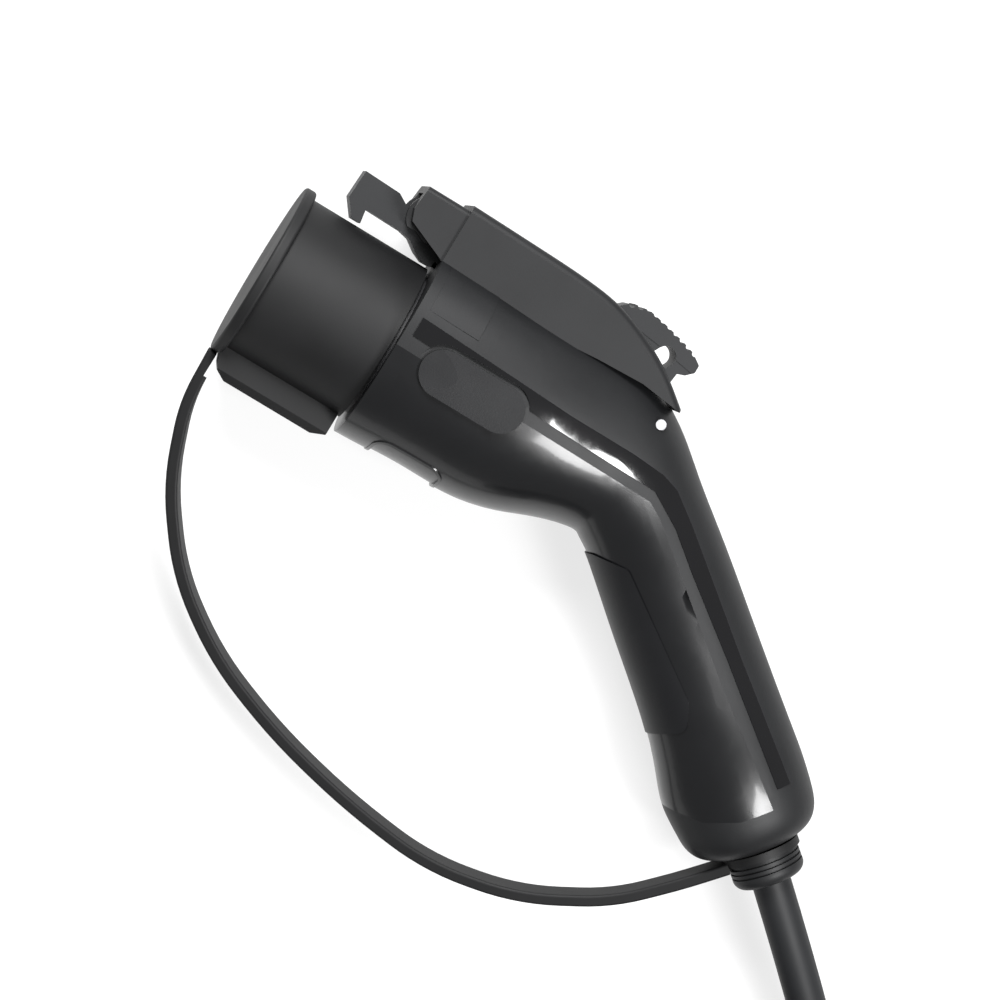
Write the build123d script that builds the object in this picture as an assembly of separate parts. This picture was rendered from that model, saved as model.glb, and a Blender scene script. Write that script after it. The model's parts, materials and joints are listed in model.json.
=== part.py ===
from build123d import *
from functools import lru_cache
from math import cos, pi, radians, sin, tan
import os

# EV charging plug, Type 1 pattern, lying on its right-hand side.
#
# Working axes: X runs back along the nose axis from the shoulder face of the body, Y is up
# towards the latch, Z is across the plug with 0 on its middle plane. Along the handle, t is the
# distance down its axis and w the height across it, towards the back. The finished solids are
# shifted so that the side pad lies on Z = 0 and the plug's own box is centred on X = Y = 0.

# ------------------------------------------------------------------ driving dimensions, mm

# Body
SHOULDER_R = 27.8          # half-width of the body at its front face
WALL = 2.6                 # moulded wall of both shells
RIB_T = 2.0                # rib behind the nose's flange
FRONT_WALL = 3.0           # wall at the shoulder face, round the nose
BLANK_START = -6.0         # X where the lofted form starts, ahead of the shoulder face that trims it
TAIL_WALL_AT = 104.0       # t where the tail's solid end wall starts
TAIL_END = 111.5           # t of the tail's end face
HANDLE_AT = (81.4, 4.5)    # X, Y of the origin of t and w
HANDLE_DROP = 39.0         # degrees from the nose axis down to the handle axis
BEND_PIVOT = (71.5, -34.5)  # X, Y of the point that the bend's sections turn about
SECTION_POINTS = 16        # points on each section of the body

# Nose, contacts and dust cap
NOSE_R = 21.9
NOSE_WALL = 2.2
NOSE_LENGTH = 36.0
NOSE_TAIL = 15.0           # length of the nose inside the body
FLANGE_R = 23.2
FLANGE_T = 1.9
SEAL_T = 1.0
NOSE_CLEARANCE = 0.1
CARRIER_T = 10.0
CARRIER_AT = 2.0
CARRIER_CLEARANCE = 0.1
TOWER_LENGTH = 31.0        # insulating towers, ahead of the shoulder face
RETAINER_T = 3.0
CRIMP_LENGTH = 9.0
CONTACT_CLEARANCE = 0.05
KEY_HALF_WIDTH = 3.0
KEY_HEIGHT = 2.2
CAP_WALL = 2.2
CAP_CLEARANCE = 0.25
CAP_FRONT_T = 3.5
CAP_FRONT_GAP = 2.5        # from the nose's rim to the inside of the cap's front
CAP_BACK_GAP = 1.2         # from the cap's rim to the shoulder face
CAP_FLANGE_R = 26.4
CAP_EDGE = 0.9
KEEL_HALF_WIDTH = 6.5
KEEL_DEPTH = 32.2          # nose axis to the keel's underside
KEEL_CHAMFER = 3.0
KEY_CLEARANCE = 0.4

# Latch
COVER_HALF_WIDTH = 16.5
COVER_WALL = 2.3
COVER_EDGE = 2.2
SLOT_START = 47.8          # X where the thumb pad's slot in the cover starts
COVER_END = 79.2           # X where the cover's thin tail is trimmed
BLOCK_LENGTH = 13.4
BLOCK_HALF_WIDTH = 15.6
BLOCK_TOP = 44.0
LEVER_HALF_WIDTH = 6.6
PAD_HALF_WIDTH = 7.0
LEVER_SIDE_GAP = 0.6
PIVOT = (22.0, 33.0)
PIVOT_R = 1.5
PIVOT_CLEARANCE = 0.05
PIVOT_BOSS_R = 4.6
CHEEK_T = 3.0
LATCH_SWING = 6.0          # degrees
WELL_FLOOR = 25.4          # Y of the floor under the lever
WELL_DEEP_FLOOR = 24.0     # Y of the floor under the thumb pad's stem
WELL_DEEP_FROM = 56.0      # X where the floor drops
WELL_END = 77.6
WELL_WALL = 2.0
PAD_RIDGES = 10
PAD_RIDGE_R = 0.9
LOCK_HOLE_R = 3.0
SPRING_AT = 49.0           # X of the latch spring
SPRING_R = 3.0
SPRING_WIRE_R = 0.5
SPRING_TURNS = 5
SWITCH_AT = 37.0           # X of the micro-switch's plunger
SWITCH_SIZE = (12.8, 5.4, 5.8)
PLUNGER_R = 1.3
PLUNGER_CLEARANCE = 0.06
LEVER_GAP = 0.3            # from the lever to the plunger and to the spring

# Skins let into the body
TRIM_PROUD = 0.3           # outer face of the side trim, out from the body
TRIM_LIFT = 0.03           # glue line under the side trim
SKIN_GAP = 0.05
SIDE_PAD_CENTRE = (24.7, 1.2)
SIDE_PAD_LENGTH = 32.5
SIDE_PAD_WIDTH = 13.5
SIDE_PAD_TOP = 28.1        # Z of the pad's crown at its middle
SIDE_PAD_T = 1.9
SIDE_PAD_CROWN_R = 60.0
SIDE_PAD_SLOPE = 2.2       # degrees that the pad follows the body's taper
SIDE_PAD_REST = 28.3       # Z of the flat on each side pad, which the plug rests on
SIDE_PAD_RING = 1.3        # width of the groove round it
GROOVE_CROWN_R = 34.0
GROOVE_DROP = 1.0          # from the pad's crown to the floor of the groove round it
GRIP_PROUD = 0.5
GRIP_T = 1.4
PLATE_CENTRE_X = 21.0
PLATE_LENGTH = 20.5
PLATE_WIDTH = 29.0
PLATE_CORNER_R = 4.0
PLATE_RIM = 0.9
PLATE_RIM_PROUD = 0.35
PLATE_SUNK = 0.5
CUT_OVER = 1.0             # how far a recess is cut past the body's surface

# Screws and the cable's clamp and gland
SCREW_R = 1.5
SCREW_HEAD_R = 2.6
SCREW_HEAD_T = 2.0
SCREW_HOLE_R = 1.7
BOSS_R = 3.3
SHELL_SCREWS_T = (27.0, 58.0)
SHELL_SCREW_Z = 8.0
SHELL_SCREW_SEAT_W = -12.6
CLAMP_AT_T = 95.5
CLAMP_SCREW_Z = 9.2
CLAMP_LENGTH = 7.0
CLAMP_HALF_WIDTH = 12.6
CLAMP_DEPTH = 7.8
SIDE_SCREW_AT = (76.5, 20.7)
CABLE_R = 5.75
CABLE_W = -2.5             # w of the cable's axis in the handle
SHEATH_START = 88.0        # t where the sheath ends and the cores part
SHEATH_END = 119.0         # t where the outer run of the cable takes over
GLAND_NECK_R = 8.6
GLAND_NECK_END = 118.5
GLAND_BORE_R = 7.6
GLAND_CLEARANCE = 0.05
GLAND_SEAL_LENGTH = 10.5
NUT_R = 10.6
NUT_END_R = 7.4
NUT_END = 122.0
NUT_GROOVES = 3
NUT_MOUTH_GAP = 0.45
COLLAR_R = 11.4
COLLAR_T = 2.3

# Strap, cable and coil
STRAP_T = 3.5
STRAP_WIDTH = 8.0
STRAP_TILT = 14.0          # degrees that the strap sags below the middle plane
CABLE_LENGTH = 5000.0
COIL_CENTRE = (203.0, -222.0)
COIL_MID_R = 69.0
COIL_COLUMNS = 3
COIL_LAYERS = 4
TIE_T = 1.2
TIE_WIDTH = 16.0
TIE_GAP = 0.15
TIE_ANGLES = (100.0, 280.0)
TAIL_ARC = (395.0, 290.0)  # degrees round the coil that the free end lies along
CORE_R = 1.6
PILOT_CORE_R = 1.0
BARE_CORE_LENGTH = 34.0
FERRULE_LENGTH = 9.0

PARTS = {}


# ------------------------------------------------------------------ frames and shared shapes

DROP = radians(HANDLE_DROP)
ALONG = Vector(cos(DROP), -sin(DROP), 0)
ACROSS = Vector(sin(DROP), cos(DROP), 0)
SIDE = Vector(0, 0, 1)


def at(t, w, z=0.0):
    """Point in working axes, from a place t down the handle and w across it."""
    return Vector(HANDLE_AT[0], HANDLE_AT[1], z) + ALONG * t + ACROSS * w


def handle_plane(t, w=0.0):
    """Plane across the handle axis: local X towards the back, local Y across the plug."""
    return Plane(origin=at(t, w), x_dir=ACROSS, z_dir=ALONG)


def nose_plane(x):
    """Plane across the nose axis: local X up, local Y across the plug."""
    return Plane(origin=(x, 0, 0), x_dir=(0, 1, 0), z_dir=(1, 0, 0))


def bend_plane(angle):
    """Plane of the bend's fan, its origin at the bend's pivot."""
    turn = radians(angle)
    return Plane(
        origin=(BEND_PIVOT[0], BEND_PIVOT[1], 0),
        x_dir=(sin(turn), cos(turn), 0),
        z_dir=(cos(turn), -sin(turn), 0),
    )


def tube(plane, outer, inner, length):
    """Ring on a plane, standing length along its normal."""
    return plane * extrude(Circle(outer) - Circle(inner), length)


def rod(plane, radius, length):
    """Round bar on a plane, standing length along its normal."""
    return plane * extrude(Circle(radius), length)


def prism(points, half_width, low=None):
    """Side outline in X and Y, extruded across the plug."""
    bottom = -half_width if low is None else low
    return Pos(0, 0, bottom) * extrude(make_face(Polyline(*points, close=True)), half_width - bottom)


def mirrored(shape):
    """The same shape on the plug's other side."""
    return mirror(shape, about=Plane.XY)


def body_section(plane, low, belt, high, half_width, upper_power, inset):
    """One closed section of the body: two half super-ellipses that meet at the belt line."""
    points = []
    for k in range(SECTION_POINTS):
        angle = 2 * pi * k / SECTION_POINTS
        c, s = cos(angle), sin(angle)
        power = upper_power if c > 0 else 2.0
        reach = (high - belt if c > 0 else belt - low) - inset
        up = belt + reach * (1 if c > 0 else -1) * abs(c) ** (2 / power)
        across = (half_width - inset) * (1 if s > 0 else -1) * abs(s) ** (2 / power)
        points.append((up, across))
    return plane * make_face(Spline(*points, periodic=True))


# plane, lowest, widest and highest place in it, half-width, and squareness of the upper half
NOSE_STATIONS = [
    (BLANK_START, -28.6, 1.5, 30.4, SHOULDER_R, 3.0),
    (0, -28.3, 1.5, 30.2, SHOULDER_R, 3.0),
    (11, -27.8, 1.5, 29.9, 27.64, 3.0),
    (20, -27.4, 1.5, 29.6, 27.5, 3.0),
    (38, -27.0, 1.5, 29.4, 26.4, 2.9),
    (52, -23.6, 1.2, 30.6, 24.2, 2.7),
    (62, -19.7, 1.0, 31.4, 21.8, 2.5),
]
BEND_STATIONS = [
    (0, 17.2, 37.0, 64.3, 19.6, 2.4),
    (13, 16.7, 36.0, 58.5, 18.3, 2.3),
    (26, 15.9, 34.9, 54.2, 17.4, 2.2),
]
HANDLE_STATIONS = [
    (20, -20.9, -1.9, 16.7, 17.0, 2.2),
    (40, -21.3, -2.1, 17.1, 17.0, 2.2),
    (60, -21.5, -2.1, 17.3, 17.1, 2.2),
    (73, -22.3, -2.2, 17.5, 17.6, 2.2),
    (82, -23.7, -2.6, 17.7, 18.3, 2.2),
    (91, -24.9, -3.2, 17.8, 18.9, 2.2),
]
TAIL_STATIONS = [
    (99, -24.1, -3.2, 17.4, 18.7, 2.2),
    (105, -22.8, -3.1, 16.3, 17.6, 2.2),
    (109, -19.7, -3.1, 13.6, 15.0, 2.1),
    (TAIL_END, -14.0, -3.0, 8.2, 9.8, 2.0),
]


@lru_cache
def body_blank(inset=0.0, front=BLANK_START, tail=TAIL_END):
    """The body's outer form, or the same form drawn in by an inset, between two ends."""
    sections = []
    for x, *shape in NOSE_STATIONS:
        if x + FRONT_WALL >= front:
            sections.append(body_section(nose_plane(max(x, front)), *shape, inset))
    for angle, *shape in BEND_STATIONS:
        sections.append(body_section(bend_plane(angle), *shape, inset))
    for t, *shape in HANDLE_STATIONS + TAIL_STATIONS:
        sections.append(body_section(handle_plane(min(t, tail)), *shape, inset))
        if t >= tail:
            break
    return loft(sections)


def layer(outline, outer_inset, inner_inset):
    """Skin of the body within an outline's prism, between two insets from its surface."""
    return (outline & body_blank(outer_inset)) - body_blank(inner_inset)


def side_prism(outline, base=6.0):
    """Outline drawn on the body's side, as a prism on the near side of the middle plane."""
    return Pos(0, 0, base) * extrude(outline, 60)


def trim_outline(shrink=0.0):
    """Closed outline of the side trim, drawn in by a gap along both long edges."""
    upper = [p - ACROSS * shrink for p in TRIM_UPPER]
    lower = [p + ACROSS * shrink for p in TRIM_LOWER]
    return make_face(Polyline(*upper, *reversed(lower), close=True))


# ------------------------------------------------------------------ lines on the body's side

SEAM = [
    Vector(-5, 1.8), Vector(84.9, 0.6), at(11, 0.2), at(60, 0.9), at(99.6, 2.8), at(99.6, -7.0),
    at(96.5, -17.0), at(88.8, -26.5), at(86, -50), Vector(60, -70), Vector(-5, -70),
]
TRIM_UPPER = [
    Vector(2.6, 11.8), Vector(53, 9.7), Vector(74, 9.7), Vector(84.5, 9.0), Vector(90.2, 7.3),
    at(16, 8.4), at(56, 9.0), at(94.5, 10.2),
]
TRIM_LOWER = [
    Vector(2.6, 5.9), Vector(55, 4.3), Vector(84.5, 3.7), Vector(88.3, 1.6),
    at(15, 3.4), at(29, 3.6), at(56, 4.9), at(94.5, 5.9),
]
GRIP_OUTLINE = [
    at(13.6, -26), at(14.6, -20.5), at(21.5, -12.8), at(62.5, -9.4), at(70.6, -12.8), at(69, -21.5), at(68.4, -30),
]


def seam_side():
    """Everything below and in front of the seam between the two shells."""
    return Pos(0, 0, -60) * extrude(make_face(Polyline(*SEAM, close=True)), 120)


def side_pad_outline(grow=0.0):
    """Rounded-end outline of the side pad, grown all round."""
    shape = SlotOverall(SIDE_PAD_LENGTH + 2 * grow, SIDE_PAD_WIDTH + 2 * grow)
    return Pos(*SIDE_PAD_CENTRE) * shape


def plate_outline(grow=0.0):
    """Rounded oblong of the name plate's seat, seen from below."""
    return RectangleRounded(PLATE_LENGTH + 2 * grow, PLATE_WIDTH + 2 * grow, PLATE_CORNER_R + grow)


def plate_prism(grow=0.0):
    """Name plate's seat as a prism standing down from the nose axis."""
    plane = Plane(origin=(PLATE_CENTRE_X, 0, 0), x_dir=(1, 0, 0), z_dir=(0, -1, 0))
    return plane * extrude(plate_outline(grow), 60)


def well(grow=0.0):
    """Space for the lever in the top of the body; grown, it is the outside of its walls."""
    half = PAD_HALF_WIDTH + LEVER_SIDE_GAP + grow
    end = WELL_END + grow
    return prism(
        [
            (-5, 60), (-5, WELL_FLOOR - grow), (WELL_DEEP_FROM, WELL_FLOOR - grow),
            (WELL_DEEP_FROM, WELL_DEEP_FLOOR - grow), (end, WELL_DEEP_FLOOR - grow), (end, 60),
        ],
        half,
    )


# ------------------------------------------------------------------ shells

def shell_screw_planes():
    """Seats of the four screws that close the shells; normals point to the back."""
    for t in SHELL_SCREWS_T:
        for side in (-1, 1):
            yield Plane(origin=at(t, SHELL_SCREW_SEAT_W, side * SHELL_SCREW_Z), x_dir=ALONG, z_dir=ACROSS)


def clamp_screw_planes():
    """Seats of the two screws that hold the cable clamp; normals point to the back."""
    for side in (-1, 1):
        seat = CABLE_W - CLAMP_DEPTH
        yield Plane(origin=at(CLAMP_AT_T, seat, side * CLAMP_SCREW_Z), x_dir=ALONG, z_dir=ACROSS)


def side_screw_plane(side):
    """Mouth of the small threaded hole in each side of the back shell; normal points inwards."""
    return Plane(origin=(*SIDE_SCREW_AT, side * (WELL_HALF + WELL_WALL)), x_dir=(1, 0, 0), z_dir=(0, 0, side))


WELL_HALF = PAD_HALF_WIDTH + LEVER_SIDE_GAP
SHELL_SCREW_LENGTH = 20.0
CLAMP_SCREW_LENGTH = 17.0


def make_housing():
    """Both shells, with everything moulded into them."""
    blank = body_blank() - Pos(-50, 0, 0) * Box(100, 200, 200)
    cavity = body_blank(WALL, FRONT_WALL, TAIL_WALL_AT) - well(WELL_WALL)
    rib_at = FRONT_WALL + SEAL_T + FLANGE_T + NOSE_CLEARANCE
    rib = tube(nose_plane(rib_at), 40, NOSE_R + NOSE_CLEARANCE, RIB_T)
    split = seam_side()

    inside = [cavity - rib, rod(nose_plane(-1), NOSE_R + NOSE_CLEARANCE, FRONT_WALL + 2)]
    grip = layer(grip_prism(), -CUT_OVER, GRIP_T + SKIN_GAP)
    lower = largest(cut_each(blank & split, inside + pad_seats() + [grip]))
    upper = largest(cut_each(blank - split, inside + [well()] + pad_seats()))

    lower_bosses = [rod(plane.offset(-4), BOSS_R, 10) & cavity & split for plane in shell_screw_planes()]
    upper_bosses = [rod(plane.offset(SCREW_HEAD_T + 4.1), BOSS_R, 40) for plane in shell_screw_planes()]
    upper_bosses += [rod(plane.offset(CLAMP_DEPTH - 0.4), BOSS_R, 40) for plane in clamp_screw_planes()]
    upper_bosses += [rod(side_screw_plane(side), BOSS_R, 30) for side in (-1, 1)]
    neck_length = GLAND_NECK_END - TAIL_WALL_AT
    neck = rod(handle_plane(TAIL_WALL_AT, CABLE_W), GLAND_NECK_R, neck_length)
    upper += [(boss & cavity) - split for boss in upper_bosses] + latch_cheeks() + [neck]
    lower += lower_bosses

    holes = [rod(handle_plane(TAIL_WALL_AT - 2, CABLE_W), GLAND_BORE_R, neck_length + 4)]
    holes += [rod(plane, SCREW_R, SHELL_SCREW_LENGTH + 0.5) for plane in shell_screw_planes()]
    holes += [rod(plane, SCREW_R, CLAMP_SCREW_LENGTH + 0.5) for plane in clamp_screw_planes()]
    holes += [rod(side_screw_plane(side).offset(1.0), SCREW_R, 30) for side in (-1, 1)]
    holes += [rod(Plane(origin=(*PIVOT, -30), z_dir=(0, 0, 1)), PIVOT_R, 60)]
    upper -= holes
    heads = [rod(plane.offset(-14), SCREW_HEAD_R + 0.2, 14) for plane in shell_screw_planes()]
    lower -= heads + [rod(plane, SCREW_HOLE_R, 12) for plane in shell_screw_planes()]
    lower -= rod(nose_plane(rib_at + RIB_T + 0.3), NOSE_R + NOSE_CLEARANCE, NOSE_TAIL - rib_at - RIB_T + 0.2)
    lower -= layer(plate_prism(), -CUT_OVER, PLATE_SUNK)
    lower += layer(plate_prism(PLATE_RIM) - plate_prism(), -PLATE_RIM_PROUD, PLATE_SUNK)
    PARTS["back_shell"] = largest(upper)
    PARTS["front_shell"] = largest(lower)


def largest(shape):
    """The main solid of a shape, without crumbs left by cutting."""
    return shape.solids().sort_by(SortBy.VOLUME)[-1]


def latch_cheeks():
    """Two cheeks beside the lever that hold the pivot pin."""
    cheek_top = PIVOT[1] + PIVOT_BOSS_R
    outline = make_face(
        Polyline(
            (PIVOT[0] - 7, WELL_FLOOR), (PIVOT[0] - PIVOT_BOSS_R + 1, cheek_top),
            (PIVOT[0] + PIVOT_BOSS_R - 1, cheek_top), (PIVOT[0] + 7, WELL_FLOOR), close=True,
        )
    )
    cheek = Pos(0, 0, WELL_HALF) * extrude(outline, CHEEK_T)
    return [cheek, mirrored(cheek)]


def cut_each(shape, cutters):
    """Shape cut by each of several cutters in turn."""
    for cutter in cutters:
        shape -= cutter
    return shape


def pad_seats():
    """Seats and surrounding grooves of the side pads, on both sides."""
    seat = side_prism(side_pad_outline(SKIN_GAP)) - pad_underside()
    ring = side_pad_outline(SIDE_PAD_RING) - side_pad_outline(SKIN_GAP / 2)
    groove = side_prism(ring) - crown(GROOVE_CROWN_R, -GROOVE_DROP)
    return [seat, mirrored(seat), groove, mirrored(groove)]


def pad_underside():
    """Block whose outer face is the floor under the side pad."""
    return pad_frame() * Pos(0, 0, -SIDE_PAD_T - 20) * Box(90, 60, 40)


def pad_frame():
    """Frame at the middle of the side pad's crown, sloped with the body's taper."""
    return Pos(*SIDE_PAD_CENTRE, SIDE_PAD_TOP) * Rot(0, SIDE_PAD_SLOPE, 0)


def crown(radius, height):
    """Solid below a shallow crowned surface along the side pad, at a height from its top."""
    return pad_frame() * Pos(0, 0, height - radius) * Rot(0, 90, 0) * Cylinder(radius, 90)


def grip_prism():
    """Finger grip's outline across the whole handle, with rounded corners."""
    wire = FilletPolyline(*GRIP_OUTLINE, radius=3.0)
    closing = Line(wire @ 1, wire @ 0)
    return Pos(0, 0, -30) * extrude(make_face(Curve() + [wire, closing]), 60)


def make_skins():
    """Gloss side trims, side pads and the finger grip, each let into its seat."""
    clear_of_pad = trim_outline(SKIN_GAP) - side_pad_outline(SIDE_PAD_RING + SKIN_GAP)
    trim = layer(side_prism(clear_of_pad), -TRIM_PROUD, -TRIM_LIFT)
    pad = extrude(side_pad_outline(), SIDE_PAD_REST) & crown(SIDE_PAD_CROWN_R, 0)
    pad -= pad_underside()
    PARTS["side_trim_left"] = group(trim.solids())
    PARTS["side_trim_right"] = group(mirrored(trim).solids())
    PARTS["side_pad_left"] = largest(pad)
    PARTS["side_pad_right"] = largest(mirrored(pad))
    PARTS["finger_grip"] = largest(layer(grip_prism(), -GRIP_PROUD, GRIP_T))


def group(solids):
    """Separate solids kept together in one node."""
    return Compound(list(solids))


# ------------------------------------------------------------------ nose and contacts

# name: up, across, tower radius, contact radius, pin radius that it takes
CONTACTS = {
    "contact_line": (6.8, 7.9, 5.0, 3.3, 1.8),
    "contact_neutral": (6.8, -7.9, 5.0, 3.3, 1.8),
    "contact_earth": (-10.6, 0.0, 4.6, 2.9, 1.4),
    "contact_pilot": (-5.6, 10.8, 3.6, 2.0, 0.75),
    "contact_proximity": (-5.6, -10.8, 3.6, 2.0, 0.75),
}
BACK_OF_CARRIER = CARRIER_AT + CARRIER_T
BACK_OF_RETAINER = BACK_OF_CARRIER + RETAINER_T


def make_nose():
    """Round shroud with its flange and key, and the gasket behind the shoulder face."""
    inner = NOSE_R - NOSE_WALL
    flange_at = FRONT_WALL + SEAL_T
    shroud = tube(nose_plane(-NOSE_LENGTH), NOSE_R, inner, NOSE_LENGTH + NOSE_TAIL)
    shroud += tube(nose_plane(flange_at), FLANGE_R, inner, FLANGE_T)
    key = Box(NOSE_LENGTH - 3, KEY_HEIGHT, 2 * KEY_HALF_WIDTH)
    key_at = (-NOSE_LENGTH / 2 - 0.5, -NOSE_R - KEY_HEIGHT / 2 + 0.4, 0)
    shroud += Pos(*key_at) * key
    step = tube(nose_plane(BACK_OF_RETAINER - 0.8), inner + 0.1, inner - 0.6, 0.8)
    PARTS["nose_shroud"] = shroud + step
    PARTS["nose_gasket"] = tube(nose_plane(FRONT_WALL), FLANGE_R, NOSE_R + NOSE_CLEARANCE, SEAL_T)


def make_contacts():
    """Insulating carrier with its five towers, the contacts in it and the plate behind them."""
    inner = NOSE_R - NOSE_WALL - CARRIER_CLEARANCE
    carrier = rod(nose_plane(CARRIER_AT), inner, CARRIER_T)
    retainer = rod(nose_plane(BACK_OF_CARRIER), inner, RETAINER_T - 0.9)
    for name, (up, across, tower_r, contact_r, pin_r) in CONTACTS.items():
        place = Pos(0, up, across)
        hole_r = contact_r + CONTACT_CLEARANCE
        tower_end = -TOWER_LENGTH
        carrier += place * rod(nose_plane(tower_end), tower_r, TOWER_LENGTH + CARRIER_AT)
        carrier -= place * rod(nose_plane(tower_end - 1), pin_r + 0.5, 4)
        carrier -= place * rod(nose_plane(tower_end + 2), hole_r, TOWER_LENGTH + CARRIER_T + 2)
        retainer -= place * rod(nose_plane(BACK_OF_CARRIER - 1), hole_r, RETAINER_T + 2)
        contact = rod(nose_plane(tower_end + 2), contact_r, TOWER_LENGTH + BACK_OF_RETAINER + CRIMP_LENGTH - 2)
        contact -= rod(nose_plane(tower_end + 1), pin_r, TOWER_LENGTH)
        contact -= rod(nose_plane(BACK_OF_RETAINER + 1), core_radius(name) + CONTACT_CLEARANCE, CRIMP_LENGTH)
        PARTS[name] = place * contact
    PARTS["contact_carrier"] = carrier
    PARTS["contact_retainer"] = retainer


def core_radius(contact):
    """Radius of the insulated core that is crimped into a contact."""
    return PILOT_CORE_R if contact in ("contact_pilot", "contact_proximity") else CORE_R


def make_cap():
    """Dust cap with its flange and the hollow keel that clears the nose's key."""
    inner = NOSE_R + CAP_CLEARANCE
    outer = inner + CAP_WALL - 0.05
    wall_at = -NOSE_LENGTH - CAP_FRONT_GAP
    front = wall_at - CAP_FRONT_T
    length = -CAP_BACK_GAP - front
    flange = rod(nose_plane(front), CAP_FLANGE_R, CAP_FRONT_T)
    cap = rod(nose_plane(front), outer, length) + fillet(flange.edges(), CAP_EDGE)
    keel_end = -CAP_BACK_GAP - 0.8
    keel_top = -NOSE_R + 4
    keel = prism(
        [
            (wall_at - 1, keel_top), (wall_at - 1, -CAP_FLANGE_R + 1), (wall_at + 0.2, -28.6), (wall_at + 1.6, -30.6),
            (wall_at + 4.4, -KEEL_DEPTH), (keel_end - 4, -KEEL_DEPTH), (keel_end, -30.4), (keel_end, keel_top),
        ],
        KEEL_HALF_WIDTH,
    )
    low_edges = keel.edges().filter_by(Axis.X).group_by(Axis.Y)[0]
    cap += chamfer(low_edges, KEEL_CHAMFER, KEEL_CHAMFER * 0.8)
    cap -= rod(nose_plane(wall_at), inner, length)
    key_low = NOSE_R + KEY_HEIGHT + KEY_CLEARANCE
    half = KEY_HALF_WIDTH + KEY_CLEARANCE
    cap -= prism([(wall_at, 0), (wall_at, -key_low), (0, -key_low), (0, 0)], half)
    PARTS["dust_cap"] = largest(cap)


# ------------------------------------------------------------------ latch

COVER_TOP = [(0, 45.8), (22, 45.3), (40, 44.5), (49, 43.2), (57, 40.6), (70.8, 33.6), (82, 25.0)]


def cover_profile(drop, front, bottom=15.0):
    """Side profile of the latch cover, drawn in from its top line by a drop."""
    top = [Vector(max(x, front), y - drop) for x, y in COVER_TOP]
    ridge = Spline(*top, tangents=[(1, -0.02), (0.79, -0.61)])
    sides = Polyline(ridge @ 1, (82, bottom), (front, bottom), ridge @ 0)
    return make_face(Curve() + [ridge, sides])


def make_cover():
    """Hollow cover over the latch, its front block and the slot for the thumb pad."""
    outer = Pos(0, 0, -COVER_HALF_WIDTH) * extrude(cover_profile(0, 0), 2 * COVER_HALF_WIDTH)
    ridge_edges = outer.faces().sort_by(Axis.Y)[-1].edges()
    long_edges = [e for e in ridge_edges if e.length > 40]
    outer = fillet(long_edges, COVER_EDGE)
    half = COVER_HALF_WIDTH - COVER_WALL
    hollow = Pos(0, 0, -half) * extrude(cover_profile(COVER_WALL, COVER_WALL), 2 * half)
    cover = outer - hollow
    cover -= lever_mouth(COVER_WALL + 1)
    slot_half = PAD_HALF_WIDTH + LEVER_SIDE_GAP
    cover -= prism([(SLOT_START, 60), (SLOT_START, 30), (WELL_END, 15), (WELL_END, 60)], slot_half)
    cover &= prism([(0, 60), (0, 26.0), (38, 26.0), (52, 27.2), (66, 27.8), (COVER_END, 26.2), (COVER_END, 60)], 30)
    cover -= body_blank(-SKIN_GAP)
    PARTS["latch_cover"] = largest(cover)

    block = prism(
        [(-BLOCK_LENGTH, BLOCK_TOP), (-BLOCK_LENGTH - 0.7, 36.6), (-12.8, 33.2), (0, 27.9), (0, BLOCK_TOP)],
        BLOCK_HALF_WIDTH,
    )
    block = fillet(block.edges().filter_by(Axis.X).group_by(Axis.Y)[-1], 1.6)
    hood_half = PAD_HALF_WIDTH + LEVER_SIDE_GAP + 2.2
    hood = Pos(-8.4, 36.2, -hood_half) * extrude(Circle(6.6), 2 * hood_half)
    block = block + hood
    block -= lever_mouth(0)
    block -= prism([(-30, 24), (-30, 31.4), (-10, 31.4), (-2, 28.2), (-2, 24)], 30)
    PARTS["latch_block"] = largest(block)


def lever_mouth(depth):
    """Way through for the lever, from ahead of the block to a depth behind the shoulder face."""
    half = PAD_HALF_WIDTH + LEVER_SIDE_GAP
    top = BLOCK_TOP - COVER_WALL
    return prism([(-40, 10), (-40, top), (depth, top), (depth, 10)], half)


def lever_outline():
    """Side outline of the one-piece latch lever, from its hook to its thumb pad."""
    hook = [
        (-1.2, 25.0), (-3.6, 24.9), (-6.6, 26.2), (-10, 28.6), (-13.2, 29.3), (-24.4, 29.5), (-24.9, 29.2),
        (-24.3, 25.3), (-27.1, 25.3), (-30.8, 30.2), (-30.4, 38.7), (-19.1, 38.3), (-16.0, 36.5), (-4, 36.8),
    ]
    arm_top = [(12, 37.3), (24, 38.4), (38, 38.9), (47.6, 39.4)]
    pad = [
        (50.3, 43.6), (53.0, 46.0), (58.5, 46.7), (64.4, 45.6), (70.6, 44.2), (75.0, 42.9), (78.4, 40.6),
        (78.4, 38.2), (76.4, 36.2), (74.2, 35.4),
    ]
    stem = [(73.7, 31.2), (62.5, 31.0), (57, 34.6), (44, 35.0), (31, 33.8), (26, 29.6), (18, 28.6), (8, 27.4), (-0.8, 27.0)]
    return hook + arm_top + pad + stem


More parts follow.
